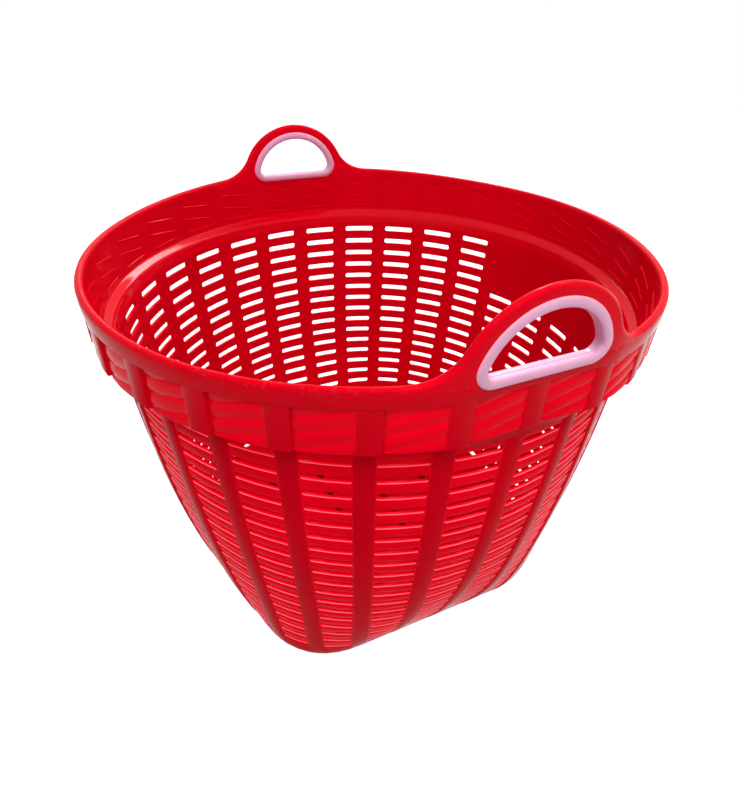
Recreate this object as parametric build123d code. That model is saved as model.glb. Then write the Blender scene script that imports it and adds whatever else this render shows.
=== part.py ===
from build123d import *
import os
from math import cos, floor, hypot, pi, radians, sin, sqrt

# Moulded plastic fish basket: oval mouth, square base, slatted walls and two lined hand grips.
# The basket stands on the XY plane with its axis on Z. The handles are on +X (front) and -X (rear),
# and the plain label panel is on the +Y side (right). Sizes are in millimetres. Places round the
# basket are counted in stakes, anticlockwise from the front handle.

# Body
MOUTH_LENGTH = 540.0
MOUTH_WIDTH = 520.0
HEIGHT = 389.0
BASE_WIDTH = 344.0
BASE_CORNER = 73.0
FLOOR_THICKNESS = 4.0
BULGE = 0.82
SQUARING_POWER = 4.6

# Weave
STAKES_PER_SIDE = 7
STAKE_WIDTH = 16.0
STAKE_DEPTH = 4.6
SLAT_THICKNESS = 3.0
SLAT_RECESS = 1.2
SLAT_TUCK = 4.0
ROWS = 18
TOP_ROW_DROP = 71.0
LAST_ROW_HEIGHT = 28.0
SLOT_HEIGHT = 8.0
LABEL_COLUMNS = 4
LABEL_ROWS = 4

# Collar and rim
RIM_THICKNESS = 7.0
RIM_BAND_HEIGHT = 15.0
RIM_RISE = 6.4
RISE_STAKES = 5
COLLAR_HEIGHT = 52.0
COLLAR_THICKNESS = 4.0
COLLAR_SETBACK = 0.6
COLLAR_LEDGE = 6.5
COLLAR_STAKE_WIDTH = 19.0
SHOULDER_HEIGHT = 10.0
SHOULDER_STEP = 16.4
STRIPS = 3
STRIP_SLANT = 10.0
STRIP_DEEP = 2.2
STRIP_SHALLOW = 0.4
STRIP_GROOVE = 1.4
STRIP_MARGIN = 1.5

# Handles and their liners
GAP_RADIUS = 45.3
GAP_SILL = 4.0
GAP_CORNER = 7.0
LINER_WALL = 3.0
LINER_FLANGE = 7.4
FLANGE_THICKNESS = 2.4
ARCH_RADIUS = 61.0
ARCH_FLARE = 50.0

# Floor drainage
FLOOR_SLOT_COLUMNS = 4
FLOOR_SLOT_ROWS = 4
FLOOR_SLOT_LENGTH = 44.0
FLOOR_SLOT_WIDTH = 8.0
FLOOR_MARGIN = 34.0

# Sizes that follow from the ones above
SIDES = ("front", "right", "rear", "left")
STAKES = len(SIDES) * STAKES_PER_SIDE
STEP = radians(360 / STAKES)
OVAL = sqrt(MOUTH_WIDTH / MOUTH_LENGTH)
RIM_RADIUS = MOUTH_WIDTH / 2 / OVAL
RIM_INNER = RIM_RADIUS - RIM_THICKNESS
COLLAR_RADIUS = RIM_RADIUS - COLLAR_SETBACK
COLLAR_BOTTOM = HEIGHT - COLLAR_HEIGHT
WALL_TOP = COLLAR_BOTTOM - SHOULDER_HEIGHT
WALL_RADIUS = COLLAR_RADIUS - SHOULDER_STEP
BASE_HALF = BASE_WIDTH / 2
TOP_ROW = HEIGHT - TOP_ROW_DROP
ROW_PITCH = (TOP_ROW - LAST_ROW_HEIGHT) / (ROWS - 1)
HANDLE_FACE = RIM_RADIUS * cos(STEP) * OVAL
HANDLE_BACK = RIM_INNER * cos(STEP) * OVAL


def row_height(row):
    """Height of the middle of a row of slots, counted from the top."""
    return TOP_ROW - row * ROW_PITCH


SPLIT = row_height(ROWS // 2 - 0.5)
UPPER_LEVELS = [WALL_TOP, (WALL_TOP + SPLIT) / 2, SPLIT]
LOWER_LEVELS = [SPLIT, SPLIT * 2 / 3, SPLIT / 3, FLOOR_THICKNESS]


def section(z):
    """Half side and corner radius of the wall's rounded square section, over the stakes."""
    drop = (WALL_TOP - z) / WALL_TOP
    half = WALL_RADIUS - (WALL_RADIUS - BASE_HALF) * ((1 - BULGE) * drop + BULGE * drop**3)
    return half, half * (1 - (1 - BASE_CORNER / BASE_HALF) * drop**SQUARING_POWER)


def stake_pitch(z):
    """Distance round the wall from one stake to the next."""
    half, corner = section(z)
    return (2 * (half - corner) + corner * pi / 2) / STAKES_PER_SIDE


def stretched(point, share):
    """Point moved for the mouth's oval, which the wall takes on from the floor upwards."""
    narrowing = 1 + (OVAL - 1) * share
    return Vector(point.X * narrowing, point.Y / narrowing, point.Z)


def wall_point(stake, z, depth=0.0):
    """Point on the wall, as deep behind the faces of the stakes as depth."""
    half, corner = section(z)
    side = floor(stake / STAKES_PER_SIDE + 0.5)
    along = (stake - side * STAKES_PER_SIDE) * stake_pitch(z)
    flat = half - corner
    turn = max(abs(along) - flat, 0) / corner
    x = flat + (corner - depth) * cos(turn)
    y = min(abs(along), flat) + (corner - depth) * sin(turn)
    point = Vector(x, y if along >= 0 else -y, z).rotate(Axis.Z, 90 * side)
    return stretched(point, (z - FLOOR_THICKNESS) / (WALL_TOP - FLOOR_THICKNESS))


def stake_edge(stake, side, z, depth):
    """Point on the left (-1) or right (1) edge of a stake, or on its middle (0)."""
    return wall_point(stake + side * STAKE_WIDTH / 2 / stake_pitch(z), z, depth)


def on_stretch(stake, side, z, levels):
    """Point on a stake's edge at slat depth, on the straight stretch between two levels."""
    top, bottom = next(pair for pair in zip(levels, levels[1:]) if z >= pair[1])
    share = (top - z) / (top - bottom)
    return (stake_edge(stake, side, top, SLAT_RECESS) * (1 - share)
            + stake_edge(stake, side, bottom, SLAT_RECESS) * share)


def creased_loft(rings):
    """Solid through rings of points, each side creased on a diagonal so that all faces are flat."""
    faces = [Face(Wire.make_polygon(ring)) for ring in (rings[0], rings[-1])]
    for upper, lower in zip(rings, rings[1:]):
        for i, a in enumerate(upper):
            b, c, d = upper[i - 1], lower[i - 1], lower[i]
            outer_first = hypot(d.X, d.Y) > hypot(c.X, c.Y)
            corners = ((a, b, d), (b, c, d)) if outer_first else ((a, b, c), (a, c, d))
            faces += [Face(Wire.make_polygon(triangle)) for triangle in corners]
    return Solid(Shell(faces))


def stake_bar(stake, left, right, levels):
    """Upright stake from its left edge to its right edge, where 0 is its middle."""
    rings = []
    for z in levels:
        front = [stake_edge(stake, side, z, 0) for side in (left, right)]
        back = [stake_edge(stake, side, z, STAKE_DEPTH) for side in (right, left)]
        rings.append(front + back)
    return creased_loft(rings)


def slat(column, top, bottom, levels):
    """Plank between two stakes, tucked a little way into both."""
    def middle(z):
        return (on_stretch(column, 1, z, levels) + on_stretch(column + 1, -1, z, levels)) / 2

    z = (top + bottom) / 2
    along = on_stretch(column + 1, -1, z, levels) - on_stretch(column, 1, z, levels)
    start = along / 2 + along.normalized() * SLAT_TUCK
    inwards = Vector(0, 0, 1).cross(along).normalized() * SLAT_THICKNESS
    upper = middle(top) - start
    lower = middle(bottom) - start
    end = Face(Wire.make_polygon([upper, lower, lower + inwards, upper + inwards]))
    return extrude(end, along.length + 2 * SLAT_TUCK, along)


def in_label(column, row):
    """The label panel, in the middle of the right side, has no slots in its upper rows."""
    from_middle = column + 0.5 - STAKES_PER_SIDE
    return row < LABEL_ROWS and abs(from_middle) < LABEL_COLUMNS / 2


def slats(column, rows, levels):
    """All planks of one column: what the rows of slots leave between two levels."""
    planks = []
    top = levels[0]
    for row in rows:
        if not in_label(column, row):
            planks.append(slat(column, top, row_height(row) + SLOT_HEIGHT / 2, levels))
            top = row_height(row) - SLOT_HEIGHT / 2
    return planks + [slat(column, top, levels[-1], levels)]


def wall_panel(first, columns, rows, levels):
    """Slatted wall from the middle of one stake to the middle of another."""
    last = first + columns
    bars = [stake_bar(first, 0, 1, levels), stake_bar(last, -1, 0, levels)]
    bars += [stake_bar(stake, -1, 1, levels) for stake in range(first + 1, last)]
    for column in range(first, last):
        bars += slats(column, rows, levels)
    return bars[0].fuse(*bars[1:])


def from_handle(stake):
    """Stakes between a place and the nearer handle, below zero on the handle's left."""
    half_turn = 2 * STAKES_PER_SIDE
    return (stake + half_turn / 2) % half_turn - half_turn / 2


def mouth_rise(stake):
    """Height that the collar and the rim gain towards the handles."""
    share = min(abs(from_handle(stake)) / RISE_STAKES, 1)
    return RIM_RISE * (1 + cos(pi * share)) / 2


def mouth_point(stake, radius, z):
    """Point on the oval mouth, which is flattened between the stakes beside each handle."""
    if abs(from_handle(stake)) < 1:
        radius *= cos(STEP) / cos(from_handle(stake) * STEP)
    point = Vector(radius * cos(stake * STEP), radius * sin(stake * STEP), z + mouth_rise(stake))
    return stretched(point, 1)


def collar_section(stake):
    """Corners of the section of the shoulder, the collar and the rim band, on an upright plane."""
    band = HEIGHT - RIM_BAND_HEIGHT
    inner = COLLAR_RADIUS - COLLAR_THICKNESS
    ledge = COLLAR_BOTTOM + COLLAR_THICKNESS
    foot = [wall_point(stake, WALL_TOP, depth) for depth in (STAKE_DEPTH, 0)]
    outline = (
        (COLLAR_RADIUS - COLLAR_LEDGE, COLLAR_BOTTOM),
        (COLLAR_RADIUS, COLLAR_BOTTOM),
        (COLLAR_RADIUS, band),
        (RIM_RADIUS, band),
        (RIM_RADIUS, HEIGHT),
        (RIM_INNER, HEIGHT),
        (inner, ledge),
        (inner - COLLAR_LEDGE, ledge),
    )
    return foot + [mouth_point(stake, r, z) for r, z in outline]


def collar_panel(first, columns):
    """Shoulder, collar and rim over some columns, with slanted strips let in between the stakes."""
    places = [first + i / 2 for i in range(2 * columns + 1)]
    ring = creased_loft([collar_section(place) for place in places])
    gap = upright(hand_gap(LINER_WALL), 0, MOUTH_LENGTH)
    cutters = [gap, Rot(0, 0, 180) * gap]
    for i in range(columns):
        cutters += strip_cutters(first + i)
    return ring - cutters


def strip_cutters(column):
    """Cutters for the strips of one column: a pocket, deepest behind its first stake, and grooves."""
    start = mouth_point(column, COLLAR_RADIUS, 0)
    end = mouth_point(column + 1, COLLAR_RADIUS, 0)
    along = end - start
    inwards = Vector(0, 0, 1).cross(along)
    low = COLLAR_BOTTOM - STRIP_MARGIN
    height = HEIGHT - RIM_BAND_HEIGHT - STRIP_MARGIN - low
    length = along.length - COLLAR_STAKE_WIDTH
    lean = (STRIP_DEEP - STRIP_SHALLOW) / length * 180 / pi
    middle = (start + end) / 2 + Vector(0, 0, low + height / 2)
    plane = Plane(middle, x_dir=along, z_dir=along.cross(inwards)) * Rot(0, 0, -lean)
    reach = 3 * COLLAR_THICKNESS
    place = plane * Pos(0, (STRIP_DEEP + STRIP_SHALLOW) / 2 - reach / 2, 0)
    cutters = [place * Box(length, reach, height)]
    for i in range(1, STRIPS):
        groove = Rot(0, -STRIP_SLANT, 0) * Box(length - 4 * STRIP_MARGIN, reach, STRIP_GROOVE)
        cutters.append(place * Pos(0, STRIP_GROOVE / 2, (i / STRIPS - 0.5) * height) * groove)
    return cutters


def hand_gap(grow):
    """D-shaped outline of the hand gap, grown outwards by grow."""
    radius = GAP_RADIUS + grow
    chord = GAP_SILL - grow
    disc = Circle(radius) & Pos(0, chord + radius) * Rectangle(2 * radius, 2 * radius)
    return fillet(disc.vertices(), GAP_CORNER + grow)


def arch_outline():
    """Round arch that flares into the rim, which stands higher there than elsewhere."""
    centre = ARCH_FLARE + mouth_rise(2)
    reach = sqrt((ARCH_RADIUS + ARCH_FLARE) ** 2 - centre**2)
    meet = ARCH_RADIUS / (ARCH_RADIUS + ARCH_FLARE)
    foot = Rectangle(2 * reach, centre * meet, align=(Align.CENTER, Align.MIN))
    foot -= [Pos(side * reach, centre) * Circle(ARCH_FLARE) for side in (-1, 1)]
    dome = Circle(ARCH_RADIUS) & Pos(0, ARCH_RADIUS) * Rectangle(2 * ARCH_RADIUS, 2 * ARCH_RADIUS)
    return foot + dome


def upright(outline, back, front):
    """Plate with an outline drawn from the rim's height, between two distances in front of the axis."""
    plane = Plane((back, 0, HEIGHT), x_dir=(0, 1, 0), z_dir=(1, 0, 0))
    return extrude(plane * outline, front - back)


def handle_arch():
    """Arch that stands on the rim and follows it, with the hand gap cut out of it."""
    top = HEIGHT + 2 * ARCH_RADIUS
    corners = ((RIM_INNER, HEIGHT), (RIM_RADIUS, HEIGHT), (RIM_RADIUS, top), (RIM_INNER, top))
    places = [i / 2 for i in range(-STAKES_PER_SIDE, STAKES_PER_SIDE + 1)]
    ring = creased_loft([[mouth_point(place, r, z) for r, z in corners] for place in places])
    return upright(arch_outline() - hand_gap(LINER_WALL), 0, MOUTH_LENGTH) & ring


def liner_half(parting, face, flange_face):
    """Half of a hand grip liner: half of the sleeve in the gap, and a flange on one face of the handle."""
    gap = hand_gap(0)
    sleeve = upright(hand_gap(LINER_WALL) - gap, min(parting, face), max(parting, face))
    flange = upright(hand_gap(LINER_FLANGE) - gap, min(face, flange_face), max(face, flange_face))
    return sleeve + flange


def base_floor():
    """Flat floor that carries the wall panels, with rows of drainage slots."""
    half, corner = section(FLOOR_THICKNESS)
    plate = extrude(RectangleRounded(2 * half, 2 * half, corner), FLOOR_THICKNESS)
    plate = chamfer(plate.edges().group_by(Axis.Z)[0], FLOOR_THICKNESS / 2)
    reach = 2 * (BASE_HALF - FLOOR_MARGIN)
    spacing = reach / FLOOR_SLOT_COLUMNS, reach / FLOOR_SLOT_ROWS
    places = GridLocations(*spacing, FLOOR_SLOT_COLUMNS, FLOOR_SLOT_ROWS)
    slot = Box(FLOOR_SLOT_LENGTH, FLOOR_SLOT_WIDTH, 4 * FLOOR_THICKNESS)
    return plate - [place * slot for place in places]


def panels():
    """Name, first stake and columns of each panel: two columns on the sides, one at the corners."""
    half = STAKES_PER_SIDE // 2
    for i, side in enumerate(SIDES):
        middle = i * STAKES_PER_SIDE
        for n in range(half):
            yield f"{side}_{n + 1}", middle - half + 2 * n, 2
        if STAKES_PER_SIDE % 2:
            yield f"{side}_{SIDES[(i + 1) % len(SIDES)]}_corner", middle + half, 1


def write(name, solid):
    """Save one piece under its name."""
    export_step(solid, os.path.join("parts", name + ".step"))


def main():
    os.makedirs("parts", exist_ok=True)
    write("floor", base_floor())
    for name, first, columns in panels():
        write(f"wall_lower_{name}", wall_panel(first, columns, range(ROWS // 2, ROWS), LOWER_LEVELS))
        write(f"wall_upper_{name}", wall_panel(first, columns, range(ROWS // 2), UPPER_LEVELS))
        write(f"collar_{name}", collar_panel(first, columns))
    parting = (HANDLE_FACE + HANDLE_BACK) / 2
    arch = handle_arch()
    outer = liner_half(parting, HANDLE_FACE, HANDLE_FACE + FLANGE_THICKNESS)
    inner = liner_half(parting, HANDLE_BACK, HANDLE_BACK - FLANGE_THICKNESS)
    for end, turn in (("front", 0), ("rear", 180)):
        write(f"handle_{end}", Rot(0, 0, turn) * arch)
        write(f"grip_{end}_outer", Rot(0, 0, turn) * outer)
        write(f"grip_{end}_inner", Rot(0, 0, turn) * inner)


main()
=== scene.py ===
from collections import namedtuple
from math import atan2, cos, floor, pi, radians, sin, sqrt, tau

import bmesh
import bpy
from mathutils import Matrix, Vector


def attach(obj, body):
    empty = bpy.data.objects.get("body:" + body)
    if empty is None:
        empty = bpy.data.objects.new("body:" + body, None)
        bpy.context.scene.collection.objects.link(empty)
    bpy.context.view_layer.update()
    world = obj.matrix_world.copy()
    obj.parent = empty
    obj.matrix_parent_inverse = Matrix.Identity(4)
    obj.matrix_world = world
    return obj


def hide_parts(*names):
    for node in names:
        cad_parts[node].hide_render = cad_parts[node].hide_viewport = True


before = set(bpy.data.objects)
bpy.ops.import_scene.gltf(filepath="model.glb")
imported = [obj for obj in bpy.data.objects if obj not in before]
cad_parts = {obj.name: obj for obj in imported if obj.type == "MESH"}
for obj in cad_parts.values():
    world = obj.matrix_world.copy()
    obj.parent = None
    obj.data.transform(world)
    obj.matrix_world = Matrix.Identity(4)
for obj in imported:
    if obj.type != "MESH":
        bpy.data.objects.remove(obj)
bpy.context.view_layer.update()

# Lengths of the basket are in millimetres, and places round it are counted in stakes from the front
# handle. The main sizes are those of the part's source. The slots' height and corners, the collar's
# stakes, strips and inside, and the handles' arches are fitted closer to the photograph.
MM = 0.001

# Mouth and rim
MOUTH_WIDTH = 520.0
MOUTH_LENGTH = 540.0
OVAL = sqrt(MOUTH_WIDTH / MOUTH_LENGTH)
RIM_RADIUS = sqrt(MOUTH_WIDTH * MOUTH_LENGTH) / 2
RIM_THICKNESS = 7.0
RIM_INNER = RIM_RADIUS - RIM_THICKNESS
RIM_TOP = 389.0
RIM_RISE = 6.4
RISE_STAKES = 5
FLAT_BLEND = 2.0

# Collar
COLLAR_RADIUS = RIM_RADIUS - 0.6
COLLAR_BOTTOM = RIM_TOP - 52.0
BAND_BOTTOM = RIM_TOP - 15.0
COLLAR_STAKE = 17.5
COLLAR_PULL = 0.07
STRIP_PITCH = 13.0
STRIP_RISE = 10.0
STRIP_START = 1.5
STRIP_DEEP = 1.6
STRIP_SHALLOW = 0.5
STRIP_BOW = 1.1

# Wall
WALL_TOP = COLLAR_BOTTOM - 10.0
WALL_RADIUS = COLLAR_RADIUS - 16.4
BASE_HALF = 172.0
BASE_CORNER = 73.0
BULGE = 0.82
SQUARING_POWER = 4.6
SIDE_STAKES = 7
STAKES = 4 * SIDE_STAKES
STAKE_STEP = tau / STAKES
STAKE_WIDTH = 16.0
STAKE_DEPTH = 4.6
SLAT_RECESS = 1.2
ROWS = 18
TOP_ROW = 318.0
LAST_ROW = 28.0
ROW_PITCH = (TOP_ROW - LAST_ROW) / (ROWS - 1)
SLOT_HEIGHT = 6.8
SLOT_ROUND = 2.2
LABEL_COLUMNS = 4
LABEL_ROWS = 4

# Handles and grip liners
GAP_RADIUS = 45.3
GAP_SILL = 4.0
GAP_CORNER = 7.0
LINER_WALL = 3.0
LINER_FLANGE = 7.4
ARCH_RADIUS = 64.5
ARCH_CENTRE = -3.5
ARCH_FLARE = 38.0
HANDLE_SPREAD = 1.045

# Floor
FLOOR_THICKNESS = 4.0
FLOOR_REACH = 276.0
FLOOR_SLOTS = 4
FLOOR_SLOT_LENGTH = 44.0
FLOOR_SLOT_WIDTH = 8.0


# The basket's form: an oval mouth, and a wall that turns from that oval into a rounded square


def ramp(value, start, length):
    """How far a value has come along a length from its start, between 0 and 1."""
    return min(max((value - start) / length, 0), 1)


def stretched(point, share):
    """Point moved for the mouth's oval, or for a share of it."""
    narrowing = 1 + (OVAL - 1) * share
    return Vector((point.x * narrowing, point.y / narrowing, point.z))


def section(z):
    """Half side and corner radius over the stakes at one height."""
    drop = (WALL_TOP - z) / WALL_TOP
    half = WALL_RADIUS - (WALL_RADIUS - BASE_HALF) * ((1 - BULGE) * drop + BULGE * drop**3)
    return half, half * (1 - (1 - BASE_CORNER / BASE_HALF) * drop**SQUARING_POWER)


def stake_pitch(z):
    """Distance from stake to stake round the wall at one height."""
    half, corner = section(z)
    return (2 * (half - corner) + corner * pi / 2) / SIDE_STAKES


def wall_point(stake, z, depth):
    """Point of the wall at a stake, or part of the way to the next one.

    The wall takes on the mouth's oval from the floor upwards."""
    half, corner = section(z)
    side = floor(stake / SIDE_STAKES + 0.5)
    along = (stake - side * SIDE_STAKES) * stake_pitch(z)
    flat = half - corner
    turn = max(abs(along) - flat, 0) / corner
    x = flat + (corner - depth) * cos(turn)
    y = min(abs(along), flat) + (corner - depth) * sin(turn)
    point = Matrix.Rotation(side * pi / 2, 3, "Z") @ Vector((x, y if along >= 0 else -y, z))
    return stretched(point, ramp(z, FLOOR_THICKNESS, WALL_TOP - FLOOR_THICKNESS))


def softer(a, b):
    """The smaller of two lengths, with the change from one to the other rounded off."""
    near = max(FLAT_BLEND - abs(a - b), 0) / FLAT_BLEND
    return min(a, b) - near * near * FLAT_BLEND / 4


def from_handle(stake):
    """Stakes between a place and the nearer handle."""
    return abs((stake + SIDE_STAKES) % (2 * SIDE_STAKES) - SIDE_STAKES)


def mouth_rise(stake):
    """Height that the collar and the rim gain towards the handles."""
    return RIM_RISE * (1 + cos(pi * min(from_handle(stake) / RISE_STAKES, 1))) / 2


def mouth_point(stake, radius, z, flat=1):
    """Point of the oval mouth, which is flat between the stakes beside each handle."""
    # three stakes from a handle the flat's line is well outside the rim
    chord = radius * cos(STAKE_STEP) / cos(min(from_handle(stake), 3) * STAKE_STEP)
    reach = radius + flat * (softer(radius, chord) - radius)
    turn = stake * STAKE_STEP
    return stretched(Vector((reach * cos(turn), reach * sin(turn), z)), 1)


# Sheets that go right round: made on a drum of lines and columns, then every point is put in its place

DRUM_SHEET = 0.1  # thickness of a sheet while it is on the drum
CREASE = radians(40)  # edges that bend more than this are drawn sharp


def drum(lines, columns, closed=False):
    """A sheet round a drum, or a ring if its last line joins its first."""
    bm = bmesh.new()
    first = last = bm.verts.new((1, 0, 0))
    for _ in range(lines - 1):
        last = bmesh.ops.extrude_vert_indiv(bm, verts=[last])["verts"][0]
        bmesh.ops.translate(bm, verts=[last], vec=(0, 0, 1))
    if closed:
        bm.edges.new((last, first))
    bmesh.ops.spin(
        bm, geom=bm.verts[:] + bm.edges[:], axis=(0, 0, 1), angle=tau, steps=columns, use_merge=True
    )
    return bm


def column_of(point, columns):
    """How many columns round the drum a point lies."""
    return atan2(point.y, point.x) / tau % 1 * columns


def seat(bm, columns, place):
    """Put every point of a drum in its place.

    The place also says how much painted glow and painted highlight the moulding gets there, and how worn,
    or below zero how polished."""
    painted_glow = bm.verts.layers.float.new("painted_glow")
    worn = bm.verts.layers.float.new("worn")
    middle = sum(v.co.xy.length for v in bm.verts) / len(bm.verts)
    for v in bm.verts:
        column = round(column_of(v.co, columns)) % columns
        spot, v[painted_glow], v[worn] = place(column, round(v.co.z), v.co.xy.length > middle)
        v.co = spot * MM


def nodes_of(region):
    """CAD nodes of one region of the moulding."""
    return [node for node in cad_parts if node.startswith(region)]


def piece(bm, name, nodes, material):
    """Make an object of a finished mesh, riding on the basket in place of its CAD nodes."""
    # the drum can leave a shell inside out, and its faces have to point outwards
    if bm.calc_volume(signed=True) < 0:
        bmesh.ops.reverse_faces(bm, faces=bm.faces[:])
    mesh = bpy.data.meshes.new(name)
    bm.to_mesh(mesh)
    bm.free()
    mesh.shade_smooth()
    mesh.set_sharp_from_angle(angle=CREASE)
    mesh.materials.append(material)
    obj = bpy.data.objects.new(name, mesh)
    bpy.context.scene.collection.objects.link(obj)
    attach(obj, "root")
    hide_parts(*nodes)


# Materials

FIRST, SECOND, MIXED = 6, 7, 2  # sockets of a Mix node: its two colours, and the colour that comes out
POLISHED = -0.5  # worn value of what use has polished


def colour(code):
    """Linear colour of an sRGB hex value."""
    parts = [int(code[i : i + 2], 16) / 255 for i in (1, 3, 5)]
    return [c / 12.92 if c <= 0.04045 else ((c + 0.055) / 1.055) ** 2.4 for c in parts] + [1.0]


def scale_of(size):
    """Noise scale for marks of about that size in millimetres."""
    return 1 / (size * MM)


def add(tree, kind, inputs, **settings):
    """Add a node with its settings; an input is a value, or a socket that is linked to it."""
    node = tree.nodes.new(kind)
    for name, value in settings.items():
        setattr(node, name, value)
    for name, value in inputs.items():
        if isinstance(value, bpy.types.NodeSocket):
            tree.links.new(value, node.inputs[name])
        else:
            node.inputs[name].default_value = value
    return node


def blank(name):
    """A material with an empty node tree."""
    material = bpy.data.materials.new(name)
    material.use_nodes = True
    material.node_tree.nodes.clear()
    return material, material.node_tree


def red_polypropylene():
    """Injection moulded polypropylene, dyed right through: deep red, painted a brighter red where light
    would come through a thin slat, strip, ridge or arch, and with a painted pale highlight along the
    slats' upper edges. The mould's flow leaves a faint ripple. Use polishes the rim, the handles and
    the ledge inside, and stacking leaves dull scuffs on the rim."""
    material, tree = blank("red_polypropylene")
    where = add(tree, "ShaderNodeTexCoord", {}).outputs["Object"]
    painted_glow = add(tree, "ShaderNodeAttribute", {}, attribute_name="painted_glow").outputs["Fac"]
    worn = add(tree, "ShaderNodeAttribute", {}, attribute_name="worn").outputs["Fac"]

    # the dye is a little uneven, in clouds about 60 mm across
    clouds = add(tree, "ShaderNodeTexNoise", {"Vector": where, "Scale": scale_of(62.5), "Detail": 2.0})
    # painted light: the deep red is painted brighter where the plastic is thin, as if lit through it
    depth = add(tree, "ShaderNodeMix", {
        "Factor": painted_glow, FIRST: colour("#C80016"), SECOND: colour("#EE001C"),
    }, data_type="RGBA")
    darker = add(tree, "ShaderNodeMapRange", {
        "Value": clouds.outputs["Fac"], "From Min": 0.3, "From Max": 0.7, "To Min": 0.0, "To Max": 0.22,
    })
    dyed = add(tree, "ShaderNodeMix", {
        "Factor": darker.outputs["Result"], FIRST: depth.outputs[MIXED], SECOND: colour("#A80012"),
    }, data_type="RGBA")

    # scuffs 2 to 4 mm long, only where the attribute says that the rim is worn
    specks = add(tree, "ShaderNodeTexNoise", {"Vector": where, "Scale": scale_of(3.333), "Detail": 3.0})
    marks = add(tree, "ShaderNodeMapRange", {
        "Value": specks.outputs["Fac"], "From Min": 0.58, "From Max": 0.72, "To Min": 0.0, "To Max": 0.12,
    })
    scuffs = add(tree, "ShaderNodeMath", {0: marks.outputs["Result"], 1: worn}, operation="MULTIPLY")
    scuffed = add(tree, "ShaderNodeMix", {
        "Factor": scuffs.outputs["Value"], FIRST: dyed.outputs[MIXED], SECOND: colour("#F0606A"),
    }, data_type="RGBA")

    # painted highlight: the slats' upper edges are painted pale, as if they reflected the light
    painted_sill_highlight = add(tree, "ShaderNodeMapRange", {
        "Value": painted_glow, "From Min": 1.35, "From Max": 2.0, "To Min": 0.0, "To Max": 0.5,
    })
    skin = add(tree, "ShaderNodeMix", {
        "Factor": painted_sill_highlight.outputs["Result"], FIRST: scuffed.outputs[MIXED], SECOND: colour("#FF9CB0"),
    }, data_type="RGBA")

    # flow ripple of the melt, about 9 mm from crest to crest
    ripple = add(tree, "ShaderNodeTexNoise", {"Vector": where, "Scale": scale_of(9.09), "Detail": 1.0})
    sheen = add(tree, "ShaderNodeMapRange", {
        "Value": ripple.outputs["Fac"], "From Min": 0.3, "From Max": 0.7, "To Min": 0.13, "To Max": 0.19,
    })
    bump = add(tree, "ShaderNodeBump", {
        "Height": ripple.outputs["Fac"], "Strength": 0.12, "Distance": 0.4 * MM,
    })

    # worn plastic is rougher, and polished plastic smoother
    rough = add(tree, "ShaderNodeMath", {
        0: worn, 1: 0.16, 2: sheen.outputs["Result"],
    }, operation="MULTIPLY_ADD")

    # hands keep the rim and the handles polished, and the wall below them is duller
    height = add(tree, "ShaderNodeSeparateXYZ", {"Vector": where})
    handled = add(tree, "ShaderNodeMapRange", {
        "Value": height.outputs["Z"], "From Min": 335 * MM, "From Max": 385 * MM,
        "To Min": 0.005, "To Max": 0.03,
    })
    # what slides over the ledge inside polishes it too, where the attribute is below zero
    rubbed = add(tree, "ShaderNodeMapRange", {
        "Value": worn, "From Min": POLISHED, "From Max": 0.0, "To Min": 0.09, "To Max": 0.0,
    })
    polish = add(tree, "ShaderNodeMath", {
        0: handled.outputs["Result"], 1: rubbed.outputs["Result"],
    }, operation="ADD")
    shader = add(tree, "ShaderNodeBsdfPrincipled", {
        "Base Color": skin.outputs[MIXED], "Roughness": rough.outputs["Value"], "IOR": 1.49,
        "Specular IOR Level": polish.outputs["Value"], "Normal": bump.outputs["Normal"],
    })
    add(tree, "ShaderNodeOutputMaterial", {"Surface": shader.outputs["BSDF"]})
    return material


def white_polyethylene():
    """Moulded polyethylene without dye: milky, slightly see-through, painted a little pink for the red
    light bounced from the red beside it, with soft gloss and a faint grain from the mould."""
    material, tree = blank("white_polyethylene")
    where = add(tree, "ShaderNodeTexCoord", {}).outputs["Object"]
    painted_glow = add(tree, "ShaderNodeAttribute", {}, attribute_name="painted_glow").outputs["Fac"]

    # milky clouds about 25 mm across, in a pink that is painted red bounce light
    clouds = add(tree, "ShaderNodeTexNoise", {"Vector": where, "Scale": scale_of(25), "Detail": 2.0})
    milk_and_painted_bounce = add(tree, "ShaderNodeMix", {
        "Factor": clouds.outputs["Fac"], FIRST: colour("#D79EBA"), SECOND: colour("#CB8FAE"),
    }, data_type="RGBA")
    # painted glow: the flange's thin edge is painted pink, as if lit by the red behind it
    skin = add(tree, "ShaderNodeMix", {
        "Factor": painted_glow, FIRST: milk_and_painted_bounce.outputs[MIXED], SECOND: colour("#FFA0B4"),
    }, data_type="RGBA")

    # mould grain about 1.5 mm across
    grain = add(tree, "ShaderNodeTexNoise", {"Vector": where, "Scale": scale_of(1.538), "Detail": 1.0})
    rough = add(tree, "ShaderNodeMapRange", {
        "Value": grain.outputs["Fac"], "From Min": 0.3, "From Max": 0.7, "To Min": 0.3, "To Max": 0.42,
    })
    bump = add(tree, "ShaderNodeBump", {
        "Height": grain.outputs["Fac"], "Strength": 0.12, "Distance": 0.2 * MM,
    })
    shader = add(tree, "ShaderNodeBsdfPrincipled", {
        "Base Color": skin.outputs[MIXED], "Roughness": rough.outputs["Result"], "IOR": 1.51,
        "Subsurface Weight": 0.25, "Subsurface Radius": (0.006, 0.003, 0.003), "Subsurface Scale": 1.0,
        "Normal": bump.outputs["Normal"],
    })
    add(tree, "ShaderNodeOutputMaterial", {"Surface": shader.outputs["BSDF"]})
    return material


# The slatted wall

WALL_COLUMNS = 12  # columns of the sheet from one stake to the next
SLOT_COLUMNS = range(4, 8)
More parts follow.
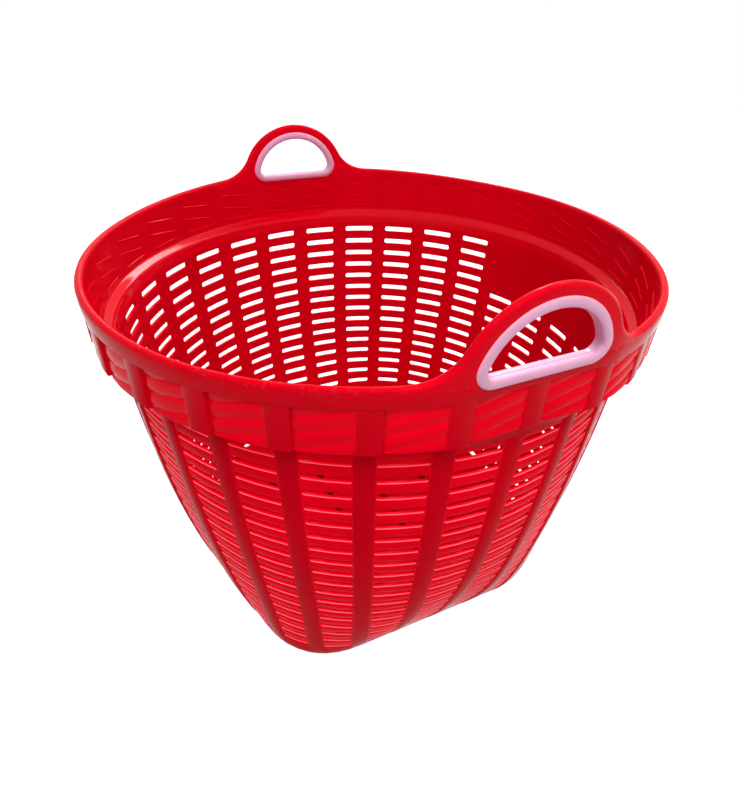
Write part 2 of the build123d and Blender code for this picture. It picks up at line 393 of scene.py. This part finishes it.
# From a stake's edge to the columns beside it, the last of which is where the slots end
STAKE_SIDE = (-1.0, -0.3, 0.3, 0.8)
STAKE_ROUNDING = 0.35
LIP_WIDTH = 0.5
LIP_ROUNDING = 0.25
FLUSH_TOP = 13.0  # below this the slats are flush with the stakes
FLUSH_CHANGE = 10.0  # height in which they take on their recess above it
# Height and inset of the outer face, then of the inner one, from the wall's foot in under the base
FOOT = (
    (19, 0, 19, 4.6), (12, 0, 12, 4.6), (5.4, 0, 8.5, 4.6), (2.8, 0.6, 6.2, 5.3),
    (1.2, 1.8, 4.8, 6.8), (0.3, 3.4, 4.2, 9), (0, 5.6, 4, 12), (0, 26, 4, 26),
)

WallLine = namedtuple("WallLine", "z inset inner_z inner_inset kind row")


def row_height(row):
    """Height of the middle of a row of slots."""
    return TOP_ROW - row * ROW_PITCH


def wall_lines():
    """Lines of the wall sheet from the shoulder down and round under the base.

    Each has the height and inset of its outer and inner points, what it is, and its row of slots."""
    half = SLOT_HEIGHT / 2
    slot_lines = (
        (half + LIP_WIDTH, "slat"), (half, "lip"), (half - SLOT_ROUND, "end"),
        (SLOT_ROUND - half, "end"), (-half, "lip"), (-half - LIP_WIDTH, "slat"),
    )
    lines = [WallLine(WALL_TOP, 0, WALL_TOP, STAKE_DEPTH, "slat", -1)]
    for row in range(ROWS):
        for rise, kind in slot_lines:
            z = row_height(row) + rise
            lines.append(WallLine(z, 0, z, STAKE_DEPTH, kind, row))
    return lines + [WallLine(*faces, "slat", -1) for faces in FOOT]


def has_slot(column, row):
    """Whether a column has a slot in a row; the label panel on +Y is plain."""
    plain = row < LABEL_ROWS and abs(column + 0.5 - SIDE_STAKES) < LABEL_COLUMNS / 2
    return 0 <= row < ROWS and not plain


def along_wall(step, pitch):
    """Distance of a sheet column from the middle of its stake."""
    edge = STAKE_WIDTH / 2
    near = [0] + [edge + side for side in STAKE_SIDE]
    near.append(near[-1] + SLOT_ROUND)
    if step < 6:
        return near[step]
    return pitch / 2 if step == 6 else pitch - near[12 - step]


def slatted_wall(material):
    """Upright stakes with slats set back between them, open slots between the slats."""
    lines = wall_lines()
    columns = STAKES * WALL_COLUMNS
    bm = drum(len(lines), columns)
    bmesh.ops.recalc_face_normals(bm, faces=bm.faces[:])
    slots = []
    for face in bm.faces:
        centre = face.calc_center_median()
        stake, step = divmod(int(column_of(centre, columns)), WALL_COLUMNS)
        upper, lower = lines[int(centre.z)], lines[int(centre.z) + 1]
        inside = "slat" not in (upper.kind, lower.kind)
        if inside and step in SLOT_COLUMNS and has_slot(stake, upper.row):
            slots.append(face)
    bmesh.ops.delete(bm, geom=slots, context="FACES")
    bmesh.ops.solidify(bm, geom=bm.faces[:], thickness=DRUM_SHEET)

    def place(column, line, outside):
        stake, step = divmod(column, WALL_COLUMNS)
        z, inset, inner_z, inner_inset, kind, row = lines[line]
        pitch = stake_pitch(z)
        along = along_wall(step, pitch)
        height, depth = (z, inset) if outside else (inner_z, inner_inset)
        between = 3 <= step <= 9
        lip = kind == "lip" and has_slot(stake, row) and 4 <= step <= 8
        sill = lip and z < row_height(row)
        if lip and step in (4, 8):
            # the slot's corner is rounded
            nudge = SLOT_ROUND * (1 - cos(pi / 4))
            along += nudge if step == 4 else -nudge
            height += nudge if sill else -nudge
        relief = ramp(z, FLUSH_TOP, FLUSH_CHANGE)
        if outside and step in (2, 10):
            depth += STAKE_ROUNDING * relief
        elif outside and between:
            depth += SLAT_RECESS * relief
            depth += LIP_ROUNDING * lip
        # painted light: the slats get a painted brighter red, and the upper edge of a slat counts twice,
        # for a painted highlight
        painted_glow = outside * between * relief * (1 + sill)
        return wall_point(stake + along / pitch, height, depth), painted_glow, 0.0

    seat(bm, columns, place)
    piece(bm, "slatted_wall", nodes_of("wall"), material)


# The floor

FLOOR_EDGE = BASE_HALF - 24  # the plate ends inside the turned-in foot of the wall
FLOOR_CORNER = 40.0
FLOOR_PLAY = 0.05  # the plate is this much inside the foot's faces


def floor_place(line, lines, size):
    """Place of a line of the floor's grid: an edge of the plate, or an end or side of its slot."""
    if line in (0, lines):
        return FLOOR_EDGE if line else -FLOOR_EDGE
    slot, end = divmod(line - 1, 2)
    middle = (slot - (FLOOR_SLOTS - 1) / 2) * FLOOR_REACH / FLOOR_SLOTS
    return middle + (size / 2 if end else -size / 2)


def slotted_floor(material):
    """Plain floor plate with rows of drainage slots, inside the turned-in foot of the wall."""
    lines = 2 * FLOOR_SLOTS + 1
    bm = bmesh.new()
    bmesh.ops.create_grid(bm, x_segments=lines, y_segments=lines, size=lines / 2)
    slots = []
    for face in bm.faces:
        centre = face.calc_center_median()
        if all(int(centre[k] + lines / 2) % 2 for k in (0, 1)):
            slots.append(face)
    bmesh.ops.delete(bm, geom=slots, context="FACES")
    for v in bm.verts:
        i, j = (round(v.co[k] + lines / 2) for k in (0, 1))
        x = floor_place(i, lines, FLOOR_SLOT_LENGTH)
        y = floor_place(j, lines, FLOOR_SLOT_WIDTH)
        v.co = Vector((x, y, FLOOR_PLAY)) * MM
    corners = [v for v in bm.verts if len(v.link_faces) == 1]
    bmesh.ops.bevel(
        bm, geom=corners, offset=FLOOR_CORNER * MM, affect="VERTICES", segments=6, profile=0.5, material=-1
    )
    # the faces look down, and the thickness goes up from them
    bmesh.ops.recalc_face_normals(bm, faces=bm.faces[:])
    if bm.faces[:][0].normal.z > 0:
        bmesh.ops.reverse_faces(bm, faces=bm.faces[:])
    bmesh.ops.solidify(bm, geom=bm.faces[:], thickness=(FLOOR_THICKNESS - 2 * FLOOR_PLAY) * MM)
    piece(bm, "slotted_floor", ["floor"], material)


# The collar with its rim and shoulder

COLLAR_COLUMNS = 12  # columns of the ring from one stake to the next
COLLAR_SIDE = (-1.0, -0.3, 0.3, 2.0, 9.0)  # from a stake's edge to the columns beside it
COLLAR_ROUNDING = 0.3
# A strip starts behind a wedge beside the stake, which is wider at the strip's upper edge
WEDGE_START = 0.4
WEDGE_LEAST = 0.4
WEDGE_GROWTH = 3.4
WEDGE_PLAIN = 2.0
WEDGE_DEPTH = 0.5
WEDGE_STEP = 2.4
STRIP_PHASES = (0.0, 0.04, 0.2, 0.4, 0.6, 0.8, 0.96)
STRIP_MARGIN = 0.4
STRIP_SQUEEZE = 0.02  # distance of the lines where the strips run out at the collar's edges
# share of painted brighter red on the strips between the collar's stakes
STRIP_PAINTED_GLOW = 0.9
# Radius and height of points of the shoulder, and of the ledge inside
SHOULDER = ((256.4, 335.4), (257.6, 336.6))
SHOULDER_TOP = 336.7
LEDGE = (
    (254.2, 343.0), (254.0, 341.7), (253.6, 340.9), (252.9, 340.3), (247.4, 337.3), (246.5, 336.6),
    (245.8, 335.7), (245.3, 334.5), (245.1, 333.2),
)
# Points of the band below the rim: how far behind the rim's face, and how far above the band's lower edge
BAND = ((0.15, 0), (0, 0.8), (0, 6))
BAND_GROOVE = 0.2
LIP_STEPS = 9
# Height of each ridge inside, and whether it slants
RIDGES = ((371, 1), (358, 1), (346.8, 0))
RIDGE_LINES = (1.4, 0.6, 0, -0.6, -1.4)
RIDGE_SLANT = 7
RIDGE_RELIEF = 0.7
TAPER = 0.11
TAPER_TOP = 378
LEDGE_TOP = 341
FORMING = 40  # height above the ledge in which the inside takes on the mouth's form
GAP_ROOM = 6  # how far beside a hand gap the rim stays below its sill
SILL_ROOM = 0.6

CollarLine = namedtuple("CollarLine", "radius z kind share")


def collar_lines():
    """Lines of the collar from the foot of the shoulder up the outside, over the rim, down the inside.

    Each has its radius, height and kind. Its share is the place of a strip's line, in strips, or
    how much a line inside slants."""
    middle = (RIM_RADIUS + RIM_INNER) / 2
    bead = (RIM_RADIUS - RIM_INNER) / 2
    lines = [(WALL_RADIUS, WALL_TOP, "foot", 0)]
    lines += [(radius, z, "plain", 0) for radius, z in SHOULDER]
    lines.append((COLLAR_RADIUS, SHOULDER_TOP, "bottom", 0))
    for strip in range(-1, 4):
        for phase in STRIP_PHASES:
            lines.append((COLLAR_RADIUS, COLLAR_BOTTOM, "strip", strip + phase))
    lines.append((COLLAR_RADIUS, BAND_BOTTOM - BAND_GROOVE, "top", 0))
    lines += [(RIM_RADIUS - behind, BAND_BOTTOM + rise, "plain", 0) for behind, rise in BAND]
    for step in range(LIP_STEPS + 1):
        turn = step * pi / LIP_STEPS
        lines.append((middle + bead * cos(turn), RIM_TOP - bead * (1 - sin(turn)), "lip", 0))
    lines.append((RIM_INNER, BAND_BOTTOM + BAND[-1][1], "plain", 0))
    for z, slant in RIDGES:
        for rise in RIDGE_LINES:
            lines.append((RIM_INNER, z + rise, "inside" if rise else "ridge", slant))
    lines += [(radius, z, "ledge", 0) for radius, z in LEDGE]
    lines.append((WALL_RADIUS - STAKE_DEPTH, WALL_TOP, "foot", 0))
    return [CollarLine(*line) for line in lines]


def along_collar(step, pitch, wedge):
    """Distance of a collar column from the middle of its stake; a strip starts behind a wedge."""
    edge = COLLAR_STAKE / 2
    if step in (4, 5):
        return edge + WEDGE_START + wedge + WEDGE_STEP * (step - 4)
    near = [0] + [edge + side for side in COLLAR_SIDE]
    if step < 6:
        return near[step]
    return pitch / 2 if step == 6 else pitch - near[12 - step]


def strip_depth(across, z, wedged):
    """How deep a strip, or the wedge beside it, lies behind the faces of the stakes."""
    phase = (z - COLLAR_BOTTOM - STRIP_START - STRIP_RISE * across) / STRIP_PITCH % 1
    bow = STRIP_BOW * (2 * phase - 1) ** 2
    if wedged:
        return STRIP_DEEP + WEDGE_DEPTH + bow
    return STRIP_DEEP + (STRIP_SHALLOW - STRIP_DEEP) * across**0.7 + bow


def banded_collar(material):
    """Shoulder, collar and rounded rim; slanted convex strips show between the collar's stakes."""
    lines = collar_lines()
    columns = STAKES * COLLAR_COLUMNS
    bm = drum(len(lines), columns, closed=True)
    pitch = COLLAR_RADIUS * STAKE_STEP
    edge = COLLAR_STAKE / 2 + COLLAR_SIDE[2]
    strips = [i for i, line in enumerate(lines) if line.kind == "strip"]

    def place(column, line, outside):
        stake, step = divmod(column, COLLAR_COLUMNS)
        radius, z, kind, share = lines[line]
        banded = kind in ("strip", "bottom", "top")
        inside = kind in ("inside", "ridge", "ledge")
        ridge = kind == "ridge" and 4 <= step <= 8
        between = 3 <= step <= 9
        wedge = WEDGE_LEAST + WEDGE_GROWTH * (share % 1) if kind == "strip" else WEDGE_PLAIN
        along = along_collar(step, pitch, wedge)
        across = ramp(along, edge, pitch - 2 * edge)
        if kind == "strip":
            z += STRIP_START + share * STRIP_PITCH + across * STRIP_RISE
            z = max(z, COLLAR_BOTTOM + STRIP_MARGIN + STRIP_SQUEEZE * (line - strips[0]))
            z = min(z, BAND_BOTTOM - STRIP_MARGIN - STRIP_SQUEEZE * (strips[-1] - line))
        if banded and step in (2, 10):
            radius -= COLLAR_ROUNDING
        elif banded and between:
            radius -= strip_depth(across, z, step in (3, 4))
        # the ledge inside stays level and round, and the collar takes on the mouth's form above it
        formed = ramp(z, LEDGE_TOP, FORMING) if inside else 1
        if inside:
            z += share * (across - 0.5) * RIDGE_SLANT
        if kind in ("inside", "ridge"):
            radius -= TAPER * (TAPER_TOP - z) + RIDGE_RELIEF * ridge
        turn = stake + along / pitch
        if kind == "foot":
            return wall_point(turn, z, WALL_RADIUS - radius), 0.0, 0.0
        # the stakes are drawn towards the handles
        turn -= COLLAR_PULL * sin(2 * turn * STAKE_STEP)
        spot = mouth_point(turn, radius, z + formed * mouth_rise(turn), formed)
        if abs(spot.y) < GAP_RADIUS * HANDLE_SPREAD + GAP_ROOM:
            spot.z = min(spot.z, RIM_TOP + GAP_SILL - LINER_WALL - SILL_ROOM)
        # painted light: the strips between the stakes are painted brighter, and the ridges inside get a
        # painted highlight
        painted_glow = max(STRIP_PAINTED_GLOW * (banded and between and step != 3), ridge)
        return spot, painted_glow, {"lip": 1, "ledge": POLISHED}.get(kind, 0)

    seat(bm, columns, place)
    bmesh.ops.recalc_face_normals(bm, faces=bm.faces[:])
    piece(bm, "banded_collar", nodes_of("collar"), material)


# Handles and grip liners: rings round the D-shaped hand gap

GAP_BOTTOM, GAP_BEND, GAP_ARC = 14, 14, 52  # columns of the gap's sill, of each bend and of its arc
GAP_COLUMNS = GAP_BOTTOM + 2 * GAP_BEND + GAP_ARC
ARCH_STAKES = 1.6  # place of the arch's foot, whose height is the rim's there
ARCH_TAIL = 14.0
TAIL_SLOPE = 0.12
ARCH_SUNK = -11.0  # height of the arch's lower edge, inside the rim
ARCH_PROUD = 0.03
# share of painted brighter red on the arch, as if lit through
ARCH_PAINTED_GLOW = 0.3
ARCH_WEAR = 0.3
# Below the rim's edge the arch gets a little thinner, so that it goes into the rim
RIM_PITCH = 58  # rough distance of the stakes along the rim
BLEND_DROP = 3.5
BLEND_HEIGHT = 7
BLEND_SHARE = 0.1
# Profile of a liner half: how far outside the gap, and how far from the seam or from the handle's face
LINER_PLAY = 0.02
LINER_SEAM = 0.05
SLEEVE = ((0.5, LINER_SEAM), (0.0, 0.5))
FLANGE = (
    (0.0, 0.3), (0.3, 1.2), (1.1, 2.0), (2.4, 2.4), (3.9, 2.4), (5.4, 2.0), (6.6, 1.3), (7.2, 0.6),
    (LINER_FLANGE, LINER_PLAY), (LINER_WALL - LINER_PLAY, LINER_PLAY),
)
# from here outwards the flange's edge gets a painted glow
FLANGE_EDGE = 6.9  # the flange is thin from here outwards


def gap_point(column, grow):
    """Point of the hand gap's outline, grown outwards: across from the handle's middle, up from RIM_TOP."""
    rise = GAP_SILL + GAP_CORNER
    reach = sqrt((GAP_RADIUS - GAP_CORNER) ** 2 - rise**2)
    start = atan2(rise, reach)
    if column <= GAP_BOTTOM:
        return Vector((reach * (2 * column / GAP_BOTTOM - 1), GAP_SILL - grow))
    column -= GAP_BOTTOM
    if column <= GAP_BEND:
        turn = -pi / 2 + (start + pi / 2) * column / GAP_BEND
        return Vector((reach, rise)) + (GAP_CORNER + grow) * Vector((cos(turn), sin(turn)))
    column -= GAP_BEND
    if column <= GAP_ARC:
        turn = start + (pi - 2 * start) * column / GAP_ARC
        return (GAP_RADIUS + grow) * Vector((cos(turn), sin(turn)))
    turn = pi - start + (start + pi / 2) * (column - GAP_ARC) / GAP_BEND
    return Vector((-reach, rise)) + (GAP_CORNER + grow) * Vector((cos(turn), sin(turn)))


def arch_edge(share):
    """Point of the arch's outer edge and the way inwards from it, by its share of the edge's length.

    The edge runs from the right along the rim, up a flare, over the dome, and down to the left."""
    side = 1 if share < 0.5 else -1
    foot = mouth_rise(ARCH_STAKES)
    centre = ARCH_FLARE + foot - ARCH_CENTRE
    reach = sqrt((ARCH_RADIUS + ARCH_FLARE) ** 2 - centre**2)
    start = atan2(centre, reach)
    lengths = ARCH_TAIL, ARCH_FLARE * (pi / 2 - start), ARCH_RADIUS * (pi / 2 - start)
    run = min(share, 1 - share) * 2 * sum(lengths)
    if run < ARCH_TAIL:
        across = reach + ARCH_TAIL - run
        return Vector((side * across, foot - TAIL_SLOPE * (ARCH_TAIL - run))), Vector((0, -1))
    run -= ARCH_TAIL
    if run < lengths[1]:
        turn = run / ARCH_FLARE
        way = Vector((side * -sin(turn), -cos(turn)))
        return Vector((side * reach, foot + ARCH_FLARE)) + way * ARCH_FLARE, way
    turn = start + (run - lengths[1]) / ARCH_RADIUS
    way = Vector((side * -cos(turn), -sin(turn)))
    return Vector((0, ARCH_CENTRE)) - way * ARCH_RADIUS, way


def arch_point(column):
    """Point of the arch's outer edge for a column of the hand gap, with the way inwards from it."""
    if 0 < column < GAP_BOTTOM:
        end = arch_edge(0)[0].x
        return Vector((end * (2 * column / GAP_BOTTOM - 1), ARCH_SUNK)), Vector((0, 1))
    return arch_edge((column - GAP_BOTTOM) % GAP_COLUMNS / (GAP_COLUMNS - GAP_BOTTOM))


def on_handle(across, up, depth, turned):
    """Point of a handle, as deep behind the rim's outer face as depth, at the front or the rear."""
    across *= HANDLE_SPREAD
    # the place on the rim that lies as far across is found by halving
    low, high = 0.0, 3.0
    for _ in range(26):
        stake = (low + high) / 2
        if mouth_point(stake, RIM_RADIUS - depth, 0).y < abs(across):
            low = stake
        else:
            high = stake
    spot = mouth_point(stake, RIM_RADIUS - depth, RIM_TOP + up)
    spot.y = across
    return Matrix.Rotation(pi if turned else 0, 3, "Z") @ spot


def handle_arch(end, material):
    """Arch over the hand gap with a full round edge that flows into the rim."""
    front, back = -ARCH_PROUD, RIM_RADIUS - RIM_INNER + ARCH_PROUD
    bull = (back - front) / 2
    flat = [("gap", share, front) for share in (0, 0.35, 0.7)]
    turns = [step * pi / 12 for step in range(7)]
    edge = [("edge", bull * (1 - sin(turn)), front + bull * (1 - cos(turn))) for turn in turns]
    behind = [(kind, share, front + back - depth) for kind, share, depth in flat + edge[:-1]]
    profile = flat + edge + behind[::-1]
    bm = drum(len(profile), GAP_COLUMNS, closed=True)

    def place(column, line, outside):
        kind, share, depth = profile[line]
        hole, (rim, way) = gap_point(column, LINER_WALL), arch_point(column)
        shoulder = rim + way * bull
        spot = hole + (shoulder - hole) * share if kind == "gap" else rim + way * share
        below = ramp(mouth_rise(abs(spot.x) / RIM_PITCH) - BLEND_DROP, spot.y, BLEND_HEIGHT)
        depth += (bull - depth) * below * BLEND_SHARE
        worn = ARCH_WEAR * (kind == "edge" and share < bull / 2)
        # the arch gets a little painted brighter red
        return on_handle(*spot, depth, end == "rear"), ARCH_PAINTED_GLOW, worn

    seat(bm, GAP_COLUMNS, place)
    bmesh.ops.recalc_face_normals(bm, faces=bm.faces[:])
    piece(bm, f"handle_arch_{end}", [f"handle_{end}"], material)


def grip_half(end, half, material):
    """Half of a grip liner: a sleeve in the hand gap and a rounded flange on the handle's face."""
    middle = (RIM_RADIUS - RIM_INNER) / 2
    side = -1 if half == "outer" else 1
    flange = [(grow, middle + out) for grow, out in FLANGE]
    profile = [*SLEEVE, *flange, (LINER_WALL - LINER_PLAY, LINER_SEAM)]
    bm = drum(len(profile), GAP_COLUMNS, closed=True)

    def place(column, line, outside):
        grow, out = profile[line]
        across, up = gap_point(column, grow)
        # the flange's edge gets a painted glow
        return on_handle(across, up, middle + side * out, end == "rear"), grow > FLANGE_EDGE, 0.0

    seat(bm, GAP_COLUMNS, place)
    bmesh.ops.recalc_face_normals(bm, faces=bm.faces[:])
    piece(bm, f"liner_{end}_{half}", [f"grip_{end}_{half}"], material)


# Floor, light and camera

STUDIO_HALF = 30  # metres from the basket to the edges of the studio's floor
STUDIO_DROP = 0.2 * MM
LAMP_TARGET = Vector((0, 0, 0.25))
# Name, place in metres, watts, and width and height in metres
LAMPS = (
    ("back", (-1.1, 0.86, 1.68), 25.0, 0.32, 1.1),
    ("window", (-0.2, 1.2, 1.75), 9.0, 1.4, 0.12),
    ("side", (-1.85, 0.1, 1.05), 4.0, 0.6, 0.3),
    ("fill", (0.95, -0.3, 1.8), 31.0, 1.2, 1.2),
)
# Camera as fitted to the photograph, in metres, with focal length and shift in the photograph's pixels
AZIMUTH, ELEVATION, ROLL = radians(64.13), radians(35.85), radians(1.99)
CAMERA_TARGET = Vector((0, 0, 0.1995))
CAMERA_DISTANCE = 0.6508
PHOTO_HEIGHT = 800
FOCAL_LENGTH = 552.71
SHIFT_X, SHIFT_Y = 1.0, -2.84
SENSOR = 36.0


def looked_at(tree):
    """1 for what the camera, a reflection or a see-through piece shows, and 0 for light on its way."""
    path = add(tree, "ShaderNodeLightPath", {}).outputs
    seen = add(tree, "ShaderNodeMath", {
        0: path["Is Camera Ray"], 1: path["Is Glossy Ray"],
    }, operation="MAXIMUM")
    seen = add(tree, "ShaderNodeMath", {
        0: seen.outputs["Value"], 1: path["Is Transmission Ray"],
    }, operation="MAXIMUM")
    return seen.outputs["Value"]


def pale_floor():
    """Matt pale floor that looks white to the camera and keeps the basket's shadow, with a red shadow
    painted under the base.
    """
    material, tree = blank("pale_floor")
    # painted shadow: under the base the floor is painted a dark red and gets no lift, and only the drainage
    # slots show it
    where = add(tree, "ShaderNodeTexCoord", {}).outputs["Object"]
    away = add(tree, "ShaderNodeVectorMath", {0: where}, operation="ABSOLUTE")
    away = add(tree, "ShaderNodeSeparateXYZ", {"Vector": away.outputs["Vector"]}).outputs
    away = add(tree, "ShaderNodeMath", {0: away["X"], 1: away["Y"]}, operation="MAXIMUM")
    clear = add(tree, "ShaderNodeMapRange", {
        "Value": away.outputs["Value"], "From Min": 128 * MM, "From Max": 140 * MM,
    }).outputs["Result"]
    floor_and_painted_shadow = add(tree, "ShaderNodeMix", {
        "Factor": clear, FIRST: colour("#6E0A12"), SECOND: colour("#BCBCBC"),
    }, data_type="RGBA")
    lift = add(tree, "ShaderNodeMath", {0: looked_at(tree), 1: clear}, operation="MULTIPLY")
    lift = add(tree, "ShaderNodeMath", {0: lift.outputs["Value"], 1: 0.8}, operation="MULTIPLY")
    matt = add(tree, "ShaderNodeBsdfDiffuse", {"Color": floor_and_painted_shadow.outputs[MIXED]})
    glow = add(tree, "ShaderNodeEmission", {
        "Color": colour("#FFFFFF"), "Strength": lift.outputs["Value"],
    })
    both = add(tree, "ShaderNodeAddShader", {0: matt.outputs["BSDF"], 1: glow.outputs["Emission"]})
    add(tree, "ShaderNodeOutputMaterial", {"Surface": both.outputs["Shader"]})
    bm = bmesh.new()
    bmesh.ops.create_grid(bm, x_segments=1, y_segments=1, size=STUDIO_HALF)
    mesh = bpy.data.meshes.new("studio_floor")
    bm.to_mesh(mesh)
    bm.free()
    mesh.materials.append(material)
    obj = bpy.data.objects.new("studio_floor", mesh)
    obj.location.z = -STUDIO_DROP
    bpy.context.scene.collection.objects.link(obj)


def studio_light():
    """Even white surroundings, two narrow lamps behind for the crisp highlights, a weak one at the
    side, and a large soft fill in front that isn't reflected."""
    world = bpy.data.worlds.new("studio")
    bpy.context.scene.world = world
    world.use_nodes = True
    tree = world.node_tree
    tree.nodes.clear()
    level = add(tree, "ShaderNodeMapRange", {"Value": looked_at(tree), "To Min": 0.42, "To Max": 1.0})
    sky = add(tree, "ShaderNodeBackground", {
        "Color": colour("#FFFFFF"), "Strength": level.outputs["Result"],
    })
    add(tree, "ShaderNodeOutputWorld", {"Surface": sky.outputs["Background"]})
    for name, place, power, width, height in LAMPS:
        lamp = bpy.data.lights.new(name, "AREA")
        lamp.shape = "RECTANGLE"
        lamp.energy = power
        lamp.size = width
        lamp.size_y = height
        obj = bpy.data.objects.new(name, lamp)
        obj.location = place
        obj.rotation_euler = (LAMP_TARGET - Vector(place)).to_track_quat("-Z", "Y").to_euler()
        obj.visible_glossy = name != "fill"
        bpy.context.scene.collection.objects.link(obj)


def photo_camera():
    """Camera at the photograph's place, close to the basket and looking down by about 36 degrees."""
    level = cos(ELEVATION)
    back = Vector((sin(AZIMUTH) * level, -cos(AZIMUTH) * level, sin(ELEVATION)))
    lens = bpy.data.cameras.new("photo_camera")
    lens.sensor_fit = "AUTO"
    lens.sensor_width = SENSOR
    lens.lens = SENSOR * FOCAL_LENGTH / PHOTO_HEIGHT
    lens.shift_x = SHIFT_X / PHOTO_HEIGHT
    lens.shift_y = SHIFT_Y / PHOTO_HEIGHT
    lens.clip_start = 0.01
    obj = bpy.data.objects.new("photo_camera", lens)
    turn = (-back).to_track_quat("-Z", "Y").to_matrix().to_4x4() @ Matrix.Rotation(ROLL, 4, "Z")
    obj.matrix_world = Matrix.Translation(CAMERA_TARGET + back * CAMERA_DISTANCE) @ turn
    bpy.context.scene.collection.objects.link(obj)
    bpy.context.scene.camera = obj


def build_basket():
    """The red moulding in its regions, and the white liners in its hand gaps."""
    red, white = red_polypropylene(), white_polyethylene()
    slatted_wall(red)
    slotted_floor(red)
    banded_collar(red)
    for end in ("front", "rear"):
        handle_arch(end, red)
        for half in ("outer", "inner"):
            grip_half(end, half, white)


build_basket()
pale_floor()
studio_light()
photo_camera()
bpy.context.scene.view_settings.view_transform = "Standard"
